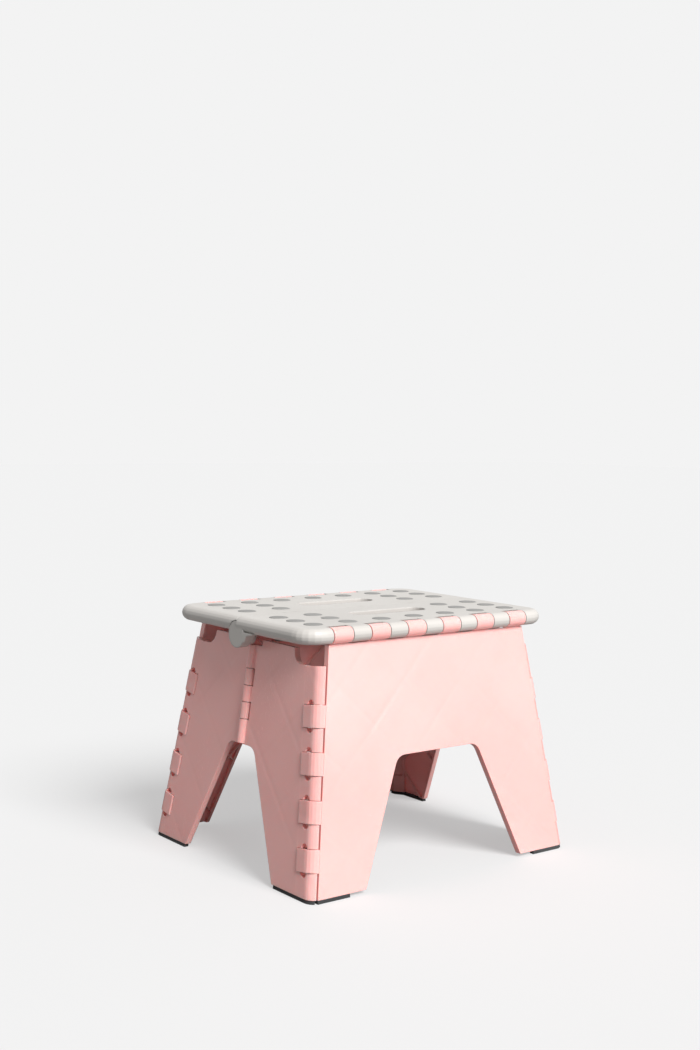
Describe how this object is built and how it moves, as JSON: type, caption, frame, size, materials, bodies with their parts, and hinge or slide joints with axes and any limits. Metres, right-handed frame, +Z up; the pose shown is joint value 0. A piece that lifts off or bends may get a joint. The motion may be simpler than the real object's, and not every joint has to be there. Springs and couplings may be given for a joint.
{
  "type": "folding step stool",
  "caption": "Fold-flat plastic step stool with a pale grey hinged top, rubber dots and pink hinged walls.",
  "frame": {"origin": "on the floor under the middle of the open stool", "axes": "+X along the long side of the seat, +Y to the rear half, +Z up"},
  "size_m": [0.2958, 0.2592, 0.2253],
  "materials": {
    "pink_plastic": "moulded, low sheen",
    "grey_plastic": "moulded, fine satin",
    "dot_rubber": "matt",
    "foot_rubber": "matt"
  },
  "bodies": {
    "seat_front": {"seat_front": "grey_plastic", "dot_front_01": "dot_rubber", "dot_front_02": "dot_rubber", "dot_front_03": "dot_rubber", "dot_front_04": "dot_rubber", "dot_front_05": "dot_rubber", "dot_front_06": "dot_rubber", "dot_front_07": "dot_rubber", "dot_front_08": "dot_rubber", "dot_front_09": "dot_rubber", "dot_front_10": "dot_rubber", "dot_front_11": "dot_rubber", "dot_front_12": "dot_rubber", "dot_front_13": "dot_rubber", "dot_front_14": "dot_rubber", "dot_front_15": "dot_rubber"},
    "seat_rear": {"seat_rear": "grey_plastic", "dot_rear_01": "dot_rubber", "dot_rear_02": "dot_rubber", "dot_rear_03": "dot_rubber", "dot_rear_04": "dot_rubber", "dot_rear_05": "dot_rubber", "dot_rear_06": "dot_rubber", "dot_rear_07": "dot_rubber", "dot_rear_08": "dot_rubber", "dot_rear_09": "dot_rubber", "dot_rear_10": "dot_rubber", "dot_rear_11": "dot_rubber", "dot_rear_12": "dot_rubber", "dot_rear_13": "dot_rubber", "dot_rear_14": "dot_rubber", "dot_rear_15": "dot_rubber"},
    "panel_front": {"panel_front": "pink_plastic", "foot_panel_front_left": "foot_rubber", "foot_panel_front_right": "foot_rubber"},
    "panel_rear": {"panel_rear": "pink_plastic", "foot_panel_rear_left": "foot_rubber", "foot_panel_rear_right": "foot_rubber"},
    "leaf_left_front": {"leaf_left_front": "pink_plastic", "foot_leaf_left_front": "foot_rubber"},
    "leaf_left_rear": {"leaf_left_rear": "pink_plastic", "foot_leaf_left_rear": "foot_rubber"},
    "leaf_right_front": {"leaf_right_front": "pink_plastic", "foot_leaf_right_front": "foot_rubber"},
    "leaf_right_rear": {"leaf_right_rear": "pink_plastic", "foot_leaf_right_rear": "foot_rubber"}
  },
  "joints": [
    {"name": "fold", "type": "hinge", "parent": "seat_front", "child": "seat_rear", "pos_m": [0, 0, 0.209], "axis": [-1, 0, 0], "range_deg": [0, 155]},
    {"name": "panel_front_hinge", "type": "hinge", "parent": "seat_front", "child": "panel_front", "pos_m": [0, -0.1015, 0.218], "axis": [-1, 0, 0], "range_deg": [0, 72.7]},
    {"name": "panel_rear_hinge", "type": "hinge", "parent": "seat_rear", "child": "panel_rear", "pos_m": [0, 0.1015, 0.218], "axis": [1, 0, 0], "range_deg": [0, 72.7]},
    {"name": "corner_left_front", "type": "hinge", "parent": "panel_front", "child": "leaf_left_front", "pos_m": [-0.12679, -0.10211, 0.1125], "axis": [-0.1357, -0.1333, -0.9817], "range_deg": [0, 83.2]},
    {"name": "corner_left_rear", "type": "hinge", "parent": "panel_rear", "child": "leaf_left_rear", "pos_m": [-0.12679, 0.10211, 0.1125], "axis": [0.1357, -0.1333, 0.9817], "range_deg": [0, 83.2]},
    {"name": "corner_right_front", "type": "hinge", "parent": "panel_front", "child": "leaf_right_front", "pos_m": [0.12679, -0.10211, 0.1125], "axis": [-0.1357, 0.1333, 0.9817], "range_deg": [0, 83.2]},
    {"name": "corner_right_rear", "type": "hinge", "parent": "panel_rear", "child": "leaf_right_rear", "pos_m": [0.12679, 0.10211, 0.1125], "axis": [0.1357, 0.1333, -0.9817], "range_deg": [0, 83.2]}
  ],
  "couplings": [
    {"joint": "panel_front_hinge", "follows": "fold", "ratio": 0.4656},
    {"joint": "panel_rear_hinge", "follows": "fold", "ratio": 0.4656},
    {"joint": "corner_left_front", "follows": "fold", "ratio": 0.5336},
    {"joint": "corner_left_rear", "follows": "fold", "ratio": 0.5336},
    {"joint": "corner_right_front", "follows": "fold", "ratio": 0.5336},
    {"joint": "corner_right_rear", "follows": "fold", "ratio": 0.5336}
  ]
}
